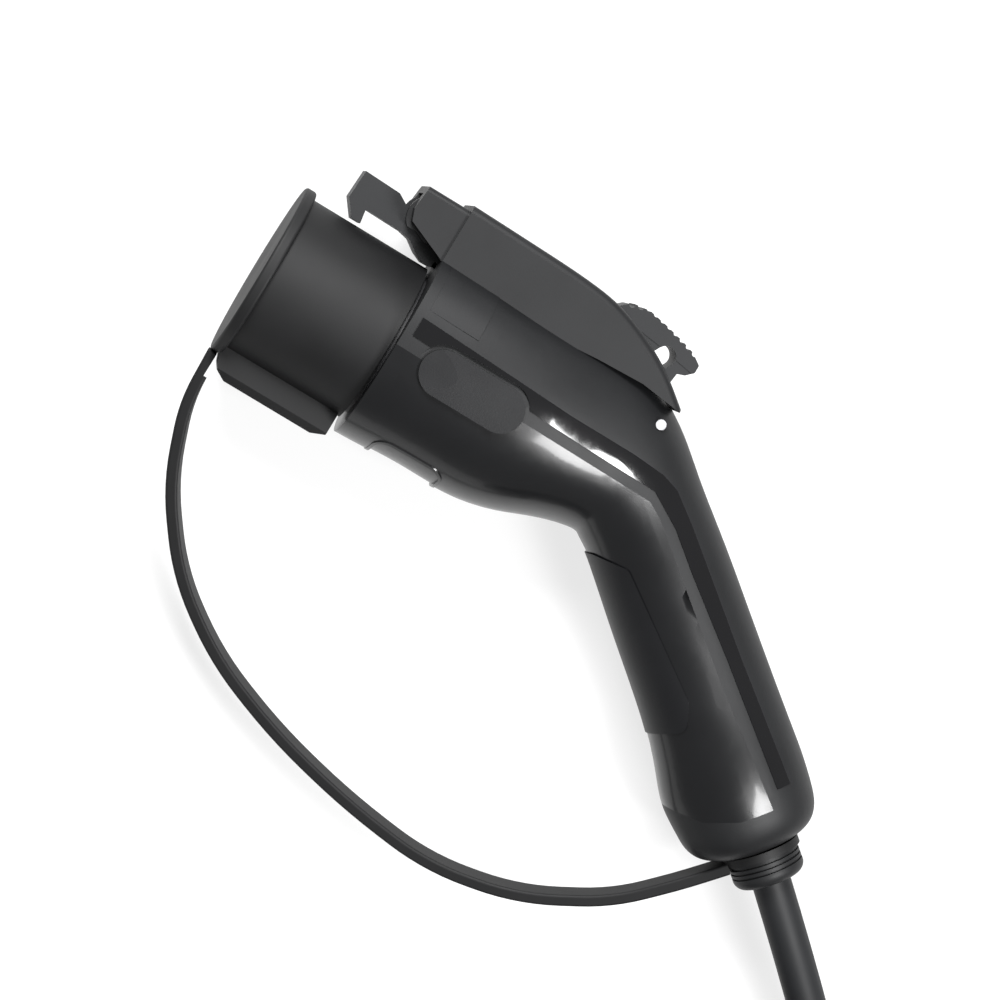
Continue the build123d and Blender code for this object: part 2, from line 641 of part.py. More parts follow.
def make_lever():
    """Rocker lever: hook, arm, pivot boss, ridged thumb pad and padlock hole."""
    half = LEVER_HALF_WIDTH
    lever = prism(lever_outline(), half)
    pad_zone = prism([(49, 41.6), (49, 60), (90, 60), (90, 35.6), (66, 39.6)], PAD_HALF_WIDTH)
    pad = prism(lever_outline(), PAD_HALF_WIDTH) & pad_zone
    lever += fillet(pad.edges().filter_by(Axis.Z).group_by(Axis.X)[-1], 0.8)
    boss = Plane(origin=(*PIVOT, -WELL_HALF + LEVER_GAP), z_dir=(0, 0, 1))
    lever += rod(boss, PIVOT_BOSS_R, 2 * (WELL_HALF - LEVER_GAP))
    lever -= rod(Plane(origin=(*PIVOT, -20), z_dir=(0, 0, 1)), PIVOT_R + PIVOT_CLEARANCE, 40)
    lock_hole = SlotCenterToCenter(2.4, 2 * LOCK_HOLE_R)
    lever -= Pos(68.3, 36.9, -20) * extrude(Rot(0, 0, 62) * lock_hole, 40)
    ridge_line = Polyline((51.4, 44.9), (58.5, 47.2), (66.0, 45.7), (77.4, 42.3))
    for k in range(PAD_RIDGES):
        point = ridge_line @ ((k + 0.7) / (PAD_RIDGES + 0.4))
        groove = Pos(point.X, point.Y + 0.1, -20) * extrude(Circle(PAD_RIDGE_R), 40)
        lever -= groove
    PARTS["latch_lever"] = lever
    pin = Plane(origin=(*PIVOT, -WELL_HALF - CHEEK_T), z_dir=(0, 0, 1))
    PARTS["latch_pin"] = rod(pin, PIVOT_R, 2 * (WELL_HALF + CHEEK_T))


def make_switch():
    """Micro-switch under the lever's rear arm, with its plunger."""
    length, height, width = SWITCH_SIZE
    body = Pos(SWITCH_AT, WELL_FLOOR + height / 2, 0) * Box(length, height, width)
    plane = Plane(origin=(SWITCH_AT, WELL_FLOOR + 2.2, 0), x_dir=(1, 0, 0), z_dir=(0, 1, 0))
    body -= rod(plane, PLUNGER_R + PLUNGER_CLEARANCE, height)
    PARTS["switch_body"] = body
    arm_under = 33.8 + (35.0 - 33.8) * (SWITCH_AT - 31) / (44 - 31)
    reach = arm_under - LEVER_GAP - (WELL_FLOOR + 2.2 + 1.9)
    PARTS["switch_plunger"] = rod(plane.offset(1.9), PLUNGER_R, reach)


def make_spring():
    """Latch return spring between the body and the lever's rear arm."""
    arm_under = 33.8 + (35.0 - 33.8) * (SPRING_AT - 31) / (44 - 31) - 0.65
    height = arm_under - WELL_FLOOR - LEVER_GAP - 2 * SPRING_WIRE_R
    pitch = height / SPRING_TURNS
    path = Helix(pitch, height, SPRING_R)
    coil = sweep(Plane(origin=path @ 0, z_dir=path % 0) * Circle(SPRING_WIRE_R), path=path)
    base = Plane(origin=(SPRING_AT, WELL_FLOOR + SPRING_WIRE_R, 0), x_dir=(1, 0, 0), z_dir=(0, 1, 0))
    PARTS["latch_spring"] = base * coil


# ------------------------------------------------------------------ inside the handle

def handle_rod(t, length, radius):
    """Round bar along the cable's axis in the handle."""
    return rod(handle_plane(t, CABLE_W), radius, length)


def make_cable_entry():
    """Sheath in the handle, its clamp, gland seal, gland nut and the strap's collar."""
    PARTS["cable_sheath"] = handle_rod(SHEATH_START, SHEATH_END - SHEATH_START, CABLE_R)
    seal_at = GLAND_NECK_END - GLAND_SEAL_LENGTH
    seal = handle_rod(seal_at, GLAND_SEAL_LENGTH, GLAND_BORE_R - GLAND_CLEARANCE)
    PARTS["gland_seal"] = seal - handle_rod(seal_at - 1, GLAND_SEAL_LENGTH + 2, CABLE_R + GLAND_CLEARANCE)

    bar = handle_plane(CLAMP_AT_T, CABLE_W) * Box(CLAMP_DEPTH, 2 * CLAMP_HALF_WIDTH, CLAMP_LENGTH)
    bar = Pos(*(ACROSS * (-CLAMP_DEPTH / 2 - 0.5))) * bar
    bar -= handle_rod(CLAMP_AT_T - 10, 20, CABLE_R + GLAND_CLEARANCE)
    screws = []
    for plane in clamp_screw_planes():
        seat = plane.offset(0.0)
        bar -= rod(seat.offset(-5), SCREW_HEAD_R + 0.2, 5)
        bar -= rod(seat, SCREW_HOLE_R, 20)
        screws.append(screw(seat, CLAMP_SCREW_LENGTH))
    PARTS["cable_clamp"] = bar
    PARTS["clamp_screws"] = Compound(screws)
    PARTS["shell_screws"] = Compound([screw(p, SHELL_SCREW_LENGTH) for p in shell_screw_planes()])
    grubs = [rod(side_screw_plane(side).offset(1.5), SCREW_R, 4.5) for side in (-1, 1)]
    PARTS["side_screws"] = Compound(grubs)

    collar_at = TAIL_END + 0.1
    collar = handle_rod(collar_at, COLLAR_T, COLLAR_R)
    PARTS["strap_collar"] = collar - handle_rod(collar_at - 1, COLLAR_T + 2, GLAND_NECK_R + 0.1)
    nut_at = collar_at + COLLAR_T + 0.1
    PARTS["gland_nut"] = gland_nut(nut_at)


def screw(seat, length):
    """Pan-head screw with its head ahead of the seat plane and its shank behind it."""
    head = rod(seat.offset(-SCREW_HEAD_T), SCREW_HEAD_R, SCREW_HEAD_T)
    cross = seat.offset(-SCREW_HEAD_T) * (Box(3.2, 0.7, 1.6) + Box(0.7, 3.2, 1.6))
    return head + rod(seat, SCREW_R, length) - cross


def gland_nut(nut_at):
    """Turned nut: round skirt with grooves, then a rounded taper down to the cable."""
    length = NUT_END - nut_at
    shoulder = length - 3.6
    inner = GLAND_NECK_R + GLAND_CLEARANCE
    mouth = CABLE_R + NUT_MOUTH_GAP
    step = GLAND_NECK_END - nut_at + 0.1
    taper = ThreePointArc(
        (NUT_R, shoulder), (NUT_END_R + 2.5, length - 1.1), (NUT_END_R, length)
    )
    rest = Polyline(
        (NUT_END_R, length), (mouth, length), (mouth, step), (inner, step), (inner, 0), (NUT_R, 0), (NUT_R, shoulder)
    )
    nut = revolve(Plane.XZ * make_face(Curve() + [taper, rest]), Axis.Z)
    for k in range(NUT_GROOVES):
        depth = 0.6
        z = (k + 0.7) * shoulder / NUT_GROOVES
        nut -= Pos(0, 0, z) * (Cylinder(NUT_R + 1, 0.6) - Cylinder(NUT_R - depth, 0.6))
    return handle_plane(nut_at, CABLE_W) * nut


def make_cores():
    """Insulated cores from the crimped contacts to the sheath's end in the handle."""
    bundle = {
        "contact_line": (2.3, 2.3), "contact_neutral": (2.3, -2.3),
        "contact_earth": (-2.4, -1.2), "contact_pilot": (-1.6, 2.7),
    }
    start = BACK_OF_RETAINER + 1.5
    for name, (up, across) in bundle.items():
        y, z = CONTACTS[name][:2]
        route = [
            Vector(start, y, z), Vector(start + 15, y, z), Vector(54, up - 0.5, across),
            at(2, CABLE_W - 1 + up, across), at(30, CABLE_W + up, across), at(SHEATH_START, CABLE_W + up, across),
        ]
        path = FilletPolyline(*route, radius=7.0)
        section = Plane(origin=route[0], z_dir=(1, 0, 0)) * Circle(core_radius(name))
        PARTS[name.replace("contact", "core")] = sweep(section, path=path)


def make_board():
    """Small board with the proximity resistors, on two ribs of the front shell."""
    board = Pos(44, -12.8, 0) * Box(22, 1.6, 17)
    for x in (38.5, 44, 49.5):
        board += Pos(x, -11.2, -4) * Box(3, 1.8, 6)
    board += Pos(43, -11.0, 4.6) * Box(9, 2.0, 5)
    PARTS["circuit_board"] = board
    ribs = [Pos(x, -20.6, 0) * Box(2.0, 14, 13) for x in (37, 51)]
    cavity = body_blank(WALL - 0.2, FRONT_WALL, TAIL_WALL_AT)
    ribs = [rib & cavity for rib in ribs]
    PARTS["front_shell"] = PARTS["front_shell"] + ribs


# ------------------------------------------------------------------ strap, cable and coil

def route_path(points):
    """Runs joined by tangent arcs, each as large as its two runs allow; prints the radii."""
    points = [Vector(*p) for p in points]
    radii = []
    for a, b, c in zip(points, points[1:], points[2:]):
        turn = radians((b - a).get_angle(c - b))
        radii.append(0.45 * min((b - a).length, (c - b).length) / tan(turn / 2))
    print("radii", [round(r, 1) for r in radii])
    return FilletPolyline(*points, radius=radii)


# X, Y of the strap's corners, seen from above; it hangs in a plane tilted down from its two ends
STRAP_ROUTE = [
    (-40.5, -26.0), (-39.7, -42.5), (-31.6, -64.6), (-15.4, -86.2), (6.2, -101.4), (32.0, -111.4),
    (59.6, -118.0), (88.9, -121.6), (116.0, -116.2), (139.2, -102.8), (153.1, -87.8), (162.7, -76.0),
]
# X, Y and height above the surface that the plug lies on
CABLE_ROUTE = [
    (172.6, -72.6, 28.3), (199.6, -96.0, 24.6), (232.0, -126.5, 14.4), (260.5, -160.5, 8.4),
    (278.9, -189.2, 6.95), (282.3, -208.0, 6.95),
]


def make_strap():
    """Flat rubber strap from the cap's flange round to the collar behind the handle."""
    start, end = Vector(*STRAP_ROUTE[0]), Vector(*STRAP_ROUTE[-1])
    chord = (end - start).normalized()
    out = chord.cross(SIDE)
    tilt = radians(STRAP_TILT)
    hang = Plane(origin=start, x_dir=chord, z_dir=chord.cross(out * cos(tilt) - SIDE * sin(tilt)))
    route = [Vector(*point) - start for point in STRAP_ROUTE]
    path = route_path([(p.dot(chord), p.dot(out) / cos(tilt), 0) for p in route])
    section = Plane(origin=path @ 0, x_dir=(0, 0, 1), z_dir=path % 0) * RectangleRounded(STRAP_WIDTH, STRAP_T, 0.8)
    strap = sweep(section, path=path)
    print("strap length", round(path.length, 1), "volume ratio", round(strap.volume / (section.area * path.length), 4))
    collar_zone = handle_rod(TAIL_END - 3, 12, COLLAR_R + SKIN_GAP)
    cap_zone = rod(nose_plane(-60), CAP_FLANGE_R + SKIN_GAP, 60)
    keel_front = -NOSE_LENGTH - CAP_FRONT_GAP - 1.1
    keel_half = KEEL_HALF_WIDTH + 0.3
    keel_zone = prism([(keel_front, -20), (keel_front, -34), (-30, -34), (-30, -20)], keel_half)
    PARTS["cap_strap"] = largest(hang * strap - collar_zone - cap_zone - keel_zone)


def make_cable():
    """Outer run of the cable, its coil with two ties, and the free end with its cores."""
    lift = -SIDE_PAD_REST
    route = [(x, y, z + lift) for x, y, z in CABLE_ROUTE]
    path = route_path(route)
    section = Plane(origin=path @ 0, z_dir=path % 0) * Circle(CABLE_R)
    cable = sweep(section, path=path)
    print("cable volume ratio", round(cable.volume / (section.area * path.length), 4))
    PARTS["power_cable"] = cable

    diameter = 2 * CABLE_R
    half_radial = COIL_COLUMNS * CABLE_R
    height = COIL_LAYERS * diameter
    outer, inner = COIL_MID_R + half_radial, COIL_MID_R - half_radial
    centre = Pos(*COIL_CENTRE, lift)
    coil = Pos(0, 0, TIE_T) * extrude(Circle(outer) - Circle(inner), height)
    PARTS["cable_coil"] = centre * fillet(coil.edges(), CABLE_R * 0.8)

    ties = []
    for angle in TIE_ANGLES:
        clear = 2 * half_radial + TIE_GAP + 0.75
        ring = Box(clear + 2 * TIE_T, TIE_WIDTH, height + 2 * TIE_T) - Box(clear, TIE_WIDTH, height)
        middle = (outer + TIE_GAP + inner - 0.75) / 2
        ties.append(centre * Rot(0, 0, angle) * Pos(middle, 0, TIE_T + height / 2) * ring)
    PARTS["coil_ties"] = Compound(ties)

    top = TIE_T + height + CABLE_R + 0.05
    tail_path = centre * Pos(0, 0, top) * CenterArc((0, 0), COIL_MID_R, TAIL_ARC[0], TAIL_ARC[1] - TAIL_ARC[0])
    tail_section = Plane(origin=tail_path @ 0, z_dir=tail_path % 0) * Circle(CABLE_R)
    PARTS["cable_end"] = sweep(tail_section, path=tail_path)
    end = Plane(origin=tail_path @ 1, x_dir=(0, 0, 1), z_dir=tail_path % 1)
    cores, ferrules = [], []
    for k in range(4):
        angle = pi / 4 + k * pi / 2
        spot = end * Pos(2.6 * cos(angle), 2.6 * sin(angle), 0)
        cores.append(spot * Cylinder(CORE_R, BARE_CORE_LENGTH, align=BASE_ALIGN))
        ferrules.append(spot * Pos(0, 0, BARE_CORE_LENGTH) * ferrule())
    PARTS["end_cores"] = Compound(cores)
    PARTS["end_ferrules"] = Compound(ferrules)

    loose = path.length + tail_path.length + BARE_CORE_LENGTH + FERRULE_LENGTH
    turns = (CABLE_LENGTH - loose) / (2 * pi * COIL_MID_R)
    print("cable run", round(path.length, 1), "coil turns", round(turns, 2))


BASE_ALIGN = (Align.CENTER, Align.CENTER, Align.MIN)


def ferrule():
    """Crimped end sleeve with its wider insulated collar."""
    sleeve = Cylinder(1.1, FERRULE_LENGTH, align=BASE_ALIGN)
    return sleeve + Cylinder(CORE_R + 0.2, 2.5, align=BASE_ALIGN)


# ------------------------------------------------------------------ build and write

CORD_NODES = ("power_cable", "cable_coil", "coil_ties", "cable_end", "end_cores", "end_ferrules")


def resting_shift():
    """Move that centres the plug's own box on X = Y = 0 and stands its side pad on Z = 0."""
    points = []
    for name, part in PARTS.items():
        if name not in CORD_NODES:
            points += part.tessellate(0.05, 0.2)[0]
    middle_x = (min(p.X for p in points) + max(p.X for p in points)) / 2
    middle_y = (min(p.Y for p in points) + max(p.Y for p in points)) / 2
    lowest = min(p.Z for p in points)
    print("shift", round(-middle_x, 3), round(-middle_y, 3), round(-lowest, 3))
    return -middle_x, -middle_y, -lowest


def main():
    """Build every piece, move all to the resting frame and write one file for each."""
    make_housing()
    make_skins()
    make_nose()
    make_contacts()
    make_cap()
    make_cover()
    make_lever()
    make_switch()
    make_spring()
    make_cable_entry()
    make_cores()
    make_board()
    make_strap()
    make_cable()

    shift = Pos(*resting_shift())
    os.makedirs("parts", exist_ok=True)
    for name, part in PARTS.items():
        export_step(shift * part, f"parts/{name}.step")


if __name__ == "__main__":
    main()
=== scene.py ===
"""Looks of a hand-held charging plug with its dust cap, latch and coiled cable."""

import json
import logging
import math
from dataclasses import dataclass, field
from enum import Enum

import bmesh
import bpy
from mathutils import Matrix, Vector

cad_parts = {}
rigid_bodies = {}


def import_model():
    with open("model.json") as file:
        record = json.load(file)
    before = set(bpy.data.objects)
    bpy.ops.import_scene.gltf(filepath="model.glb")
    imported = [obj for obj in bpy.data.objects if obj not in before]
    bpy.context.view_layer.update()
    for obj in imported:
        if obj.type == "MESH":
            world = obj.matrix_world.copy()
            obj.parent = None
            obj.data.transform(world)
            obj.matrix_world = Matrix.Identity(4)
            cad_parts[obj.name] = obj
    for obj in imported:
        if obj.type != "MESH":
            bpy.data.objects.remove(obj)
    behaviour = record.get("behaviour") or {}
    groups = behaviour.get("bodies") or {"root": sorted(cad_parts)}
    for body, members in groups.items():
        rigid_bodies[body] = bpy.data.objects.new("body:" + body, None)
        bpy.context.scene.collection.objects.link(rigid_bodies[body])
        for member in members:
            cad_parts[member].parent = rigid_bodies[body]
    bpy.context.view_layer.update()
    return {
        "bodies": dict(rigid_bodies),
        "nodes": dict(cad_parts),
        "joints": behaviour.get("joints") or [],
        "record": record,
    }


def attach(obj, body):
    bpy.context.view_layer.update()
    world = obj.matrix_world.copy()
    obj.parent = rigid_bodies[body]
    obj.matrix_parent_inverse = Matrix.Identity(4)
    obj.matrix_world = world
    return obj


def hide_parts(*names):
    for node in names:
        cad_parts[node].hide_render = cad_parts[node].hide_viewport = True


LOG = logging.getLogger("charging_plug")
MM = 0.001
SHIFT = Vector((-68.818, 38.218, 0.0)) * MM
MID_HEIGHT = 28.3 * MM


def plug_point(x: float, y: float, height: float) -> Vector:
    """Point from the plug's own axes, in millimetres, with its height above the surface.

    Args:
        x: Distance back from the shoulder face.
        y: Distance up from the nose axis.
        height: Height above the surface the plug lies on.

    Returns:
        The point in the row frame, in metres.
    """
    return Vector((x, y, height)) * MM + SHIFT


class Pattern(Enum):
    """Kind of surface relief that a finish has."""

    MOULDED_GRAIN = "moulded grain"
    SMOOTH = "smooth"
    RUBBER = "rubber"
    BRUSHED = "brushed"
    WOVEN = "woven"


@dataclass(frozen=True)
class Finish:
    """One surface finish of the plug."""

    name: str
    colour: tuple[float, float, float]
    roughness: float
    pattern: Pattern
    grain_scale: float = 2200.0
    grain_height: float = 0.03
    blotch: float = 0.12
    metallic: float = 0.0
    coat: float = 0.0
    coat_roughness: float = 0.1
    specular: float = 0.3


FINISHES: dict[str, Finish] = {
    "shell_back": Finish("textured_shell", (0.0065, 0.0068, 0.0075), 0.52, Pattern.MOULDED_GRAIN, 2600.0, 0.05),
    "shell_front": Finish("satin_shell", (0.004, 0.0042, 0.0048), 0.30, Pattern.SMOOTH, 900.0, 0.008, coat=0.25),
    "gloss_trim": Finish("gloss_inlay", (0.002, 0.002, 0.0025), 0.08, Pattern.SMOOTH, 500.0, 0.003, coat=0.8),
    "grain_pad": Finish("grained_pad", (0.006, 0.0062, 0.007), 0.42, Pattern.MOULDED_GRAIN, 1800.0, 0.06),
    "grip_rubber": Finish("soft_grip", (0.004, 0.0042, 0.005), 0.45, Pattern.RUBBER, 2400.0, 0.03),
    "cap_rubber": Finish("cap_rubber", (0.0045, 0.0046, 0.005), 0.60, Pattern.RUBBER, 1900.0, 0.04, 0.2),
    "cable_jacket": Finish("cable_jacket", (0.008, 0.0085, 0.0095), 0.55, Pattern.RUBBER, 1500.0, 0.03, 0.15),
    "lever_plastic": Finish("lever_plastic", (0.009, 0.0095, 0.0105), 0.52, Pattern.MOULDED_GRAIN, 2600.0, 0.05),
    "insulator": Finish("insulator", (0.03, 0.03, 0.032), 0.5, Pattern.MOULDED_GRAIN, 2000.0, 0.03),
    "contact_silver": Finish(
        "silver_plate", (0.78, 0.77, 0.74), 0.25, Pattern.BRUSHED, 1500.0, 0.01, 0.08, metallic=1.0
    ),
    "steel": Finish("zinc_plate", (0.58, 0.58, 0.6), 0.34, Pattern.BRUSHED, 1500.0, 0.02, 0.1, metallic=1.0),
    "spring_steel": Finish("spring_wire", (0.5, 0.5, 0.52), 0.3, Pattern.BRUSHED, 2500.0, 0.02, metallic=1.0),
    "seal_rubber": Finish("seal_rubber", (0.035, 0.035, 0.036), 0.6, Pattern.RUBBER, 2000.0, 0.03),
    "switch_case": Finish("switch_case", (0.05, 0.05, 0.052), 0.45, Pattern.MOULDED_GRAIN, 2500.0, 0.02),
    "switch_button": Finish("switch_button", (0.5, 0.06, 0.04), 0.4, Pattern.SMOOTH, 1500.0, 0.01),
    "board_green": Finish("solder_resist", (0.02, 0.14, 0.05), 0.35, Pattern.SMOOTH, 1200.0, 0.01, coat=0.4),
    "core_brown": Finish("brown_core", (0.14, 0.055, 0.02), 0.4, Pattern.SMOOTH, 1400.0, 0.01),
    "core_blue": Finish("blue_core", (0.03, 0.09, 0.33), 0.4, Pattern.SMOOTH, 1400.0, 0.01),
    "core_green_yellow": Finish("earth_core", (0.2, 0.4, 0.04), 0.4, Pattern.SMOOTH, 1400.0, 0.01),
    "core_white": Finish("white_core", (0.7, 0.7, 0.68), 0.4, Pattern.SMOOTH, 1400.0, 0.01),
    "tie_fabric": Finish("woven_tie", (0.015, 0.015, 0.017), 0.85, Pattern.WOVEN, 1600.0, 0.12, 0.2),
}


class ReliefGroup:
    """Shared shader group: fine relief, slow blotches of colour and roughness."""

    NAME = "moulded_relief"

    def __init__(self) -> None:
        """Build the group once, with its named inputs and outputs."""
        self.tree = bpy.data.node_groups.new(self.NAME, "ShaderNodeTree")
        self._sockets()
        self._nodes()

    def _sockets(self) -> None:
        """Add the group's inputs and outputs."""
        new = self.tree.interface.new_socket
        new("Vector", in_out="INPUT", socket_type="NodeSocketVector")
        colour = new("Colour", in_out="INPUT", socket_type="NodeSocketColor")
        colour.default_value = (0.02, 0.02, 0.02, 1.0)
        for name, value in (("Roughness", 0.5), ("Grain Scale", 2000.0), ("Blotch", 0.12), ("Stretch", 1.0)):
            new(name, in_out="INPUT", socket_type="NodeSocketFloat").default_value = value
        new("Colour", in_out="OUTPUT", socket_type="NodeSocketColor")
        new("Roughness", in_out="OUTPUT", socket_type="NodeSocketFloat")
        new("Height", in_out="OUTPUT", socket_type="NodeSocketFloat")

    def _nodes(self) -> None:
        """Wire noise of two scales into colour, roughness and height."""
        nodes, links = self.tree.nodes, self.tree.links
        source = nodes.new("NodeGroupInput")
        sink = nodes.new("NodeGroupOutput")
        stretch = nodes.new("ShaderNodeCombineXYZ")
        stretch.inputs["Y"].default_value = 1.0
        stretch.inputs["Z"].default_value = 1.0
        links.new(source.outputs["Stretch"], stretch.inputs["X"])
        scaled = nodes.new("ShaderNodeVectorMath")
        scaled.operation = "MULTIPLY"
        links.new(source.outputs["Vector"], scaled.inputs[0])
        links.new(stretch.outputs["Vector"], scaled.inputs[1])

        grain = nodes.new("ShaderNodeTexNoise")
        grain.inputs["Detail"].default_value = 3.0
        grain.inputs["Roughness"].default_value = 0.6
        links.new(scaled.outputs["Vector"], grain.inputs["Vector"])
        links.new(source.outputs["Grain Scale"], grain.inputs["Scale"])

        blotch = nodes.new("ShaderNodeTexNoise")
        blotch.inputs["Scale"].default_value = 60.0
        blotch.inputs["Detail"].default_value = 4.0
        links.new(source.outputs["Vector"], blotch.inputs["Vector"])

        centred = nodes.new("ShaderNodeMath")
        centred.operation = "SUBTRACT"
        centred.inputs[1].default_value = 0.5
        links.new(blotch.outputs["Fac"], centred.inputs[0])
        amount = nodes.new("ShaderNodeMath")
        amount.operation = "MULTIPLY"
        links.new(centred.outputs["Value"], amount.inputs[0])
        links.new(source.outputs["Blotch"], amount.inputs[1])

        rough = nodes.new("ShaderNodeMath")
        rough.operation = "ADD"
        rough.use_clamp = True
        links.new(source.outputs["Roughness"], rough.inputs[0])
        links.new(amount.outputs["Value"], rough.inputs[1])

        gain = nodes.new("ShaderNodeMath")
        gain.operation = "MULTIPLY_ADD"
        gain.inputs[1].default_value = 4.0
        gain.inputs[2].default_value = 1.0
        links.new(amount.outputs["Value"], gain.inputs[0])
        tint = nodes.new("ShaderNodeVectorMath")
        tint.operation = "SCALE"
        links.new(source.outputs["Colour"], tint.inputs[0])
        links.new(gain.outputs["Value"], tint.inputs["Scale"])

        links.new(tint.outputs["Vector"], sink.inputs["Colour"])
        links.new(rough.outputs["Value"], sink.inputs["Roughness"])
        links.new(grain.outputs["Fac"], sink.inputs["Height"])


class FinishShop:
    """Makes one material for each finish and puts it on pieces."""

    STRETCH = {Pattern.BRUSHED: 0.08}

    def __init__(self) -> None:
        """Start with the shared relief group and no materials."""
        self.relief = ReliefGroup()
        self.made: dict[str, bpy.types.Material] = {}

    def material(self, slot: str) -> bpy.types.Material:
        """Material of a record slot.

        Args:
            slot: Name of the record's material slot.

        Returns:
            The material, made on first use.
        """
        if slot not in self.made:
            self.made[slot] = self._build(FINISHES[slot])
        return self.made[slot]

    def _build(self, finish: Finish) -> bpy.types.Material:
        """Build one finish's node tree.

        Args:
            finish: The finish to build.

        Returns:
            A new material.
        """
        material = bpy.data.materials.new(finish.name)
        material.use_nodes = True
        nodes, links = material.node_tree.nodes, material.node_tree.links
        shader = nodes["Principled BSDF"]
        shader.inputs["Metallic"].default_value = finish.metallic
        shader.inputs["Specular IOR Level"].default_value = finish.specular
        shader.inputs["Coat Weight"].default_value = finish.coat
        shader.inputs["Coat Roughness"].default_value = finish.coat_roughness
        place = nodes.new("ShaderNodeTexCoord")
        group = nodes.new("ShaderNodeGroup")
        group.node_tree = self.relief.tree
        group.inputs["Colour"].default_value = (*finish.colour, 1.0)
        group.inputs["Roughness"].default_value = finish.roughness
        group.inputs["Grain Scale"].default_value = finish.grain_scale
        group.inputs["Blotch"].default_value = finish.blotch
        group.inputs["Stretch"].default_value = self.STRETCH.get(finish.pattern, 1.0)
        links.new(place.outputs["Object"], group.inputs["Vector"])
        links.new(group.outputs["Colour"], shader.inputs["Base Color"])
        links.new(group.outputs["Roughness"], shader.inputs["Roughness"])
        bump = nodes.new("ShaderNodeBump")
        bump.inputs["Strength"].default_value = min(1.0, finish.grain_height * 8)
        bump.inputs["Distance"].default_value = finish.grain_height * MM
        links.new(group.outputs["Height"], bump.inputs["Height"])
        links.new(bump.outputs["Normal"], shader.inputs["Normal"])
        return material

    def dress(self, piece: bpy.types.Object, slot: str) -> None:
        """Give a piece one finish all over.

        Args:
            piece: Mesh or curve object.
            slot: Name of the record's material slot.
        """
        piece.data.materials.clear()
        piece.data.materials.append(self.material(slot))


@dataclass
class PlugBody:
    """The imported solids, which keep their shape and take finer finishes."""

    shop: FinishShop
    frame: dict
    smooth_angle: float = math.radians(32.0)

    def dress(self) -> None:
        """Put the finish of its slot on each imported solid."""
        slots = {part["node"]: part["material_slot"] for part in self.frame["record"]["subparts"]}
        for name, node in self.frame["nodes"].items():
            self.shop.dress(node, slots[name])
            LOG.info("dressed %s with %s", name, slots[name])


@dataclass
class ChargingCable:
    """The cable from the gland to its tied coil and its free end."""

    shop: FinishShop
    diameter: float = 11.5
    length: float = 5.0
    route: tuple[tuple[float, float, float], ...] = (
        (172.6, -72.6, 28.3), (199.6, -96.0, 24.6), (232.0, -126.5, 14.4),
        (260.5, -160.5, 8.4), (278.9, -189.2, 6.95), (282.3, -208.0, 6.95),
    )
    coil_centre: tuple[float, float] = (203.0, -222.0)
    column_radii: tuple[float, float, float] = (80.5, 69.0, 57.5)
    first_layer: float = 6.95
    points_per_turn: int = 16
    start_angle: float = 10.0
    end_angle: float = 290.0
    top_height: float = 53.0
    turns: float = 11.22

    def centreline(self) -> list[Vector]:
        """Control points of the whole cable.

        Returns:
            Points in the row frame, from the gland to the free end.
        """
        points = [plug_point(*point) for point in self.route]
        count = round(self.turns * self.points_per_turn)
        for step in range(1, count + 1):
            turn = step / self.points_per_turn
            angle = math.radians(self.start_angle - 360.0 * turn)
            radius, height = self._slot(turn)
            x = self.coil_centre[0] + radius * math.cos(angle)
            y = self.coil_centre[1] + radius * math.sin(angle)
            points.append(plug_point(x, y, height))
        return points

    def _slot(self, turn: float) -> tuple[float, float]:
        """Radius and height of the winding after a number of turns.

        Args:
            turn: Turns wound so far.

        Returns:
            Radius from the coil's centre and height above the surface, in millimetres.
        """
        places = []
        for layer in range(4):
            columns = self.column_radii if layer % 2 == 0 else self.column_radii[::-1]
            places += [(radius, self.first_layer + layer * self.diameter) for radius in columns]
        last = self.turns - 0.36
        if turn > last:
            share = min(1.0, (turn - last) / 0.12)
            low = places[int(last)]
            return low[0] + (69.0 - low[0]) * share, low[1] + (self.top_height - low[1]) * share
        index = min(int(turn), len(places) - 2)
        share = max(0.0, (turn - index - 0.8) / 0.2)
        now, then = places[index], places[index + 1]
        return now[0] + (then[0] - now[0]) * share, now[1] + (then[1] - now[1]) * share

    def build(self) -> bpy.types.Object:
        """Make the cable as one smooth line with a round section.

        Returns:
            The curve object.
        """
        curve = bpy.data.curves.new("charging_cable", "CURVE")
        curve.dimensions = "3D"
        curve.bevel_depth = self.diameter / 2 * MM
        curve.bevel_resolution = 6
        curve.use_fill_caps = True
        spline = curve.splines.new("NURBS")
        points = self.centreline()
        spline.points.add(len(points) - 1)
        for point, place in zip(spline.points, points):
            point.co = (*place, 1.0)
        spline.order_u = 3
        spline.use_endpoint_u = True
        spline.resolution_u = 5
        cable = bpy.data.objects.new("charging_cable", curve)
        bpy.context.scene.collection.objects.link(cable)
        self.shop.dress(cable, "cable_jacket")
        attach(cable, "housing")
        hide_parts("power_cable", "cable_coil", "cable_end")
        LOG.info("cable laid with %d points", len(points))
        return cable


